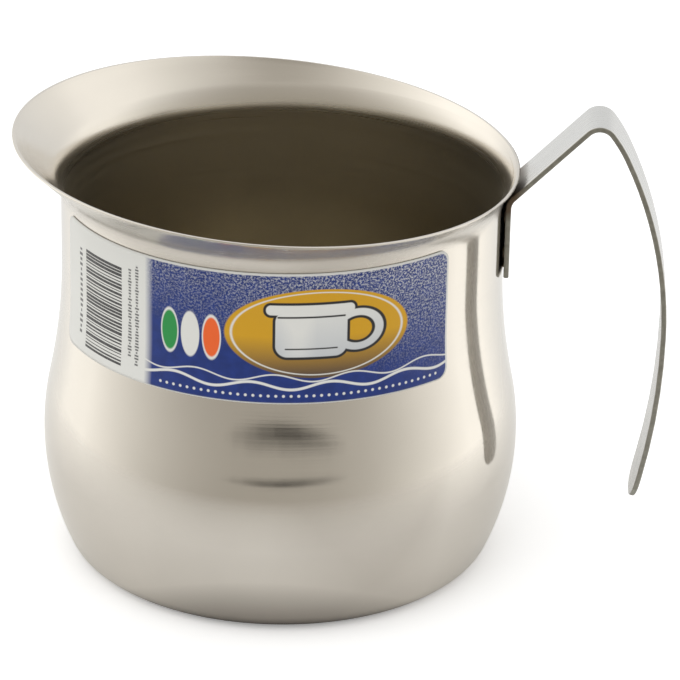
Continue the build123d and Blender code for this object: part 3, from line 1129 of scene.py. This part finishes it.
def set_block():
    """A low dark block before the pan that only the steel sees."""
    left, right, head, front = -0.21, 0.31, 0.03, -0.4
    block = plain_mesh("dark_block", [(left, front, 0), (right, front, 0), (right, front, head),
                                      (left, front, head)], [(0, 1, 2, 3)])
    block.data.materials.append(block_paint())
    block.visible_camera = False
    block.visible_diffuse = False
    block.visible_shadow = False
    block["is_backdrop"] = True


def walls_seen(tree, sums, studio):
    """The colour of the studio's walls by direction: dim in front, bright beside and behind, dark above."""
    at = put(tree, "ShaderNodeSeparateXYZ", {0: put(tree, "ShaderNodeTexCoord").outputs["Generated"]}).outputs
    backward = sums.over(at[1], sums.length(at[0], at[1]))
    turned = sums.math("POWER", sums.ramp(backward, -1.0, 0.26), 1.25)
    sides = sums.mix(turned, opaque(studio.front_wall), opaque(studio.side_wall))
    walls = sums.mix(sums.ramp(backward, 0.6, 0.94), sides, opaque(studio.back_wall))
    high = sums.times(sums.ramp(at[2], 0.75, 0.93), 0.12)
    walls = sums.mix(high, walls, opaque(studio.side_wall))
    return sums.mix(sums.ramp(at[2], 0.95, 0.985), walls, opaque(studio.ceiling))


def lit_from_left(tree, sums):
    """What the walls' strength gains high on the left, and loses high on the right and low on the left."""
    at = put(tree, "ShaderNodeSeparateXYZ", {0: put(tree, "ShaderNodeTexCoord").outputs["Generated"]}).outputs
    high = sums.times(at[0], sums.math("MAXIMUM", at[2], 0.0))
    low = sums.times(sums.math("MINIMUM", at[0], 0.0), sums.math("MINIMUM", at[2], 0.0))
    gain = -0.35
    return sums.times(sums.add(high, low), gain)


def set_sky(studio):
    """White for the camera, plain soft light for the label and floor, and the studio's walls in the steel."""
    world = bpy.data.worlds.new("studio_sky")
    bpy.context.scene.world = world
    world.use_nodes = True
    tree = world.node_tree
    sums = Sums(tree)
    back = tree.nodes["Background"]
    shown = seen_rays(tree, sums, "Is Camera Ray", "Is Transmission Ray")
    mirrored = seen_rays(tree, sums, "Is Glossy Ray")
    strength = sums.add(sums.ramp(shown, 0.0, 1.0, studio.sky, 1.0),
                        sums.times(mirrored, studio.walls - studio.sky))
    strength = sums.add(strength, sums.times(mirrored, lit_from_left(tree, sums)))
    shade = sums.mix(mirrored, opaque((1.0, 1.0, 1.0)), walls_seen(tree, sums, studio))
    tree.links.new(strength, back.inputs["Strength"])
    tree.links.new(shade, back.inputs["Color"])


def set_lamp(studio):
    """A wide soft lamp high over the camera's left shoulder."""
    lamp = bpy.data.lights.new("soft_lamp", "SUN")
    lamp.angle = studio.key_spread
    lamp.energy = studio.key
    holder = bpy.data.objects.new("soft_lamp", lamp)
    bpy.context.scene.collection.objects.link(holder)
    holder.rotation_euler = Vector((0.3, 0.5, -1.0)).to_track_quat("-Z", "Y").to_euler()
    holder.visible_glossy = False


def set_camera(studio):
    lens = bpy.data.cameras.new("studio_camera")
    lens.lens = studio.lens
    lens.clip_start, lens.clip_end = 0.01, 100
    camera = bpy.data.objects.new("studio_camera", lens)
    bpy.context.scene.collection.objects.link(camera)
    camera.location = studio.camera_spot
    sight = Vector(studio.aim_spot) - Vector(studio.camera_spot)
    camera.rotation_euler = sight.to_track_quat("-Z", "Y").to_euler()
    camera.rotation_euler.rotate_axis("Z", studio.roll)
    bpy.context.scene.camera = camera


class MILKPAN_OT_set_stage(bpy.types.Operator):
    """Lay the floor and set up light and camera"""
    bl_idname = "milk_pan.set_stage"
    bl_label = "Set Stage"

    def execute(self, context):
        studio = context.scene.milk_pan_studio
        reach = 4.0
        floor = plain_mesh("studio_floor", [(-reach, -reach, 0), (reach, -reach, 0), (reach, reach, 0),
                                            (-reach, reach, 0)], [(0, 1, 2, 3)])
        floor.data.materials.append(floor_paint(studio))
        floor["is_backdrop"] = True
        set_block()
        set_sky(studio)
        set_lamp(studio)
        set_camera(studio)
        context.scene.view_settings.view_transform = "Standard"
        return {"FINISHED"}


class MILKPAN_PT_sidebar(bpy.types.Panel):
    """Sizes, finishes and steps of the milk pan"""
    bl_label = "Milk Pan"
    bl_space_type = "VIEW_3D"
    bl_region_type = "UI"
    bl_category = "Milk Pan"

    def draw(self, context):
        for group, steps in (("milk_pan_sheet", ("spin_body",)),
                             ("milk_pan_handle", ("bend_handle",)),
                             ("milk_pan_finish", ()),
                             ("milk_pan_label", ("wrap_label", "print_bars")),
                             ("milk_pan_studio", ("set_stage",))):
            settings = getattr(context.scene, group)
            box = self.layout.box()
            for name in settings.bl_rna.properties.keys():
                if name not in ("rna_type", "name"):
                    box.prop(settings, name)
            for step in steps:
                box.operator("milk_pan." + step)


GROUPS = {
    "milk_pan_sheet": MilkPanSheet,
    "milk_pan_handle": MilkPanHandle,
    "milk_pan_label": MilkPanLabel,
    "milk_pan_finish": MilkPanFinish,
    "milk_pan_studio": MilkPanStudio,
}
STEPS = (MILKPAN_OT_spin_body, MILKPAN_OT_bend_handle, MILKPAN_OT_wrap_label, MILKPAN_OT_print_bars,
         MILKPAN_OT_set_stage)
CLASSES = (*GROUPS.values(), *STEPS, MILKPAN_PT_sidebar)


def register():
    for one in CLASSES:
        bpy.utils.register_class(one)
    for name, group in GROUPS.items():
        setattr(bpy.types.Scene, name, PointerProperty(type=group))


def unregister():
    for name in GROUPS:
        delattr(bpy.types.Scene, name)
    for one in reversed(CLASSES):
        bpy.utils.unregister_class(one)


def write_sizes():
    """Works out the CAD box and the dressed model's box, but keeps neither."""
    boxes = {"cad": cad_box, "visual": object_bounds()}
    {name: [list(corner) for corner in box] for name, box in boxes.items()}


def main():
    register()
    bpy.ops.milk_pan.spin_body()
    bpy.ops.milk_pan.bend_handle()
    bpy.ops.milk_pan.wrap_label()
    bpy.ops.milk_pan.print_bars()
    bpy.ops.milk_pan.set_stage()
    write_sizes()


if __name__ == "__main__":
    main()
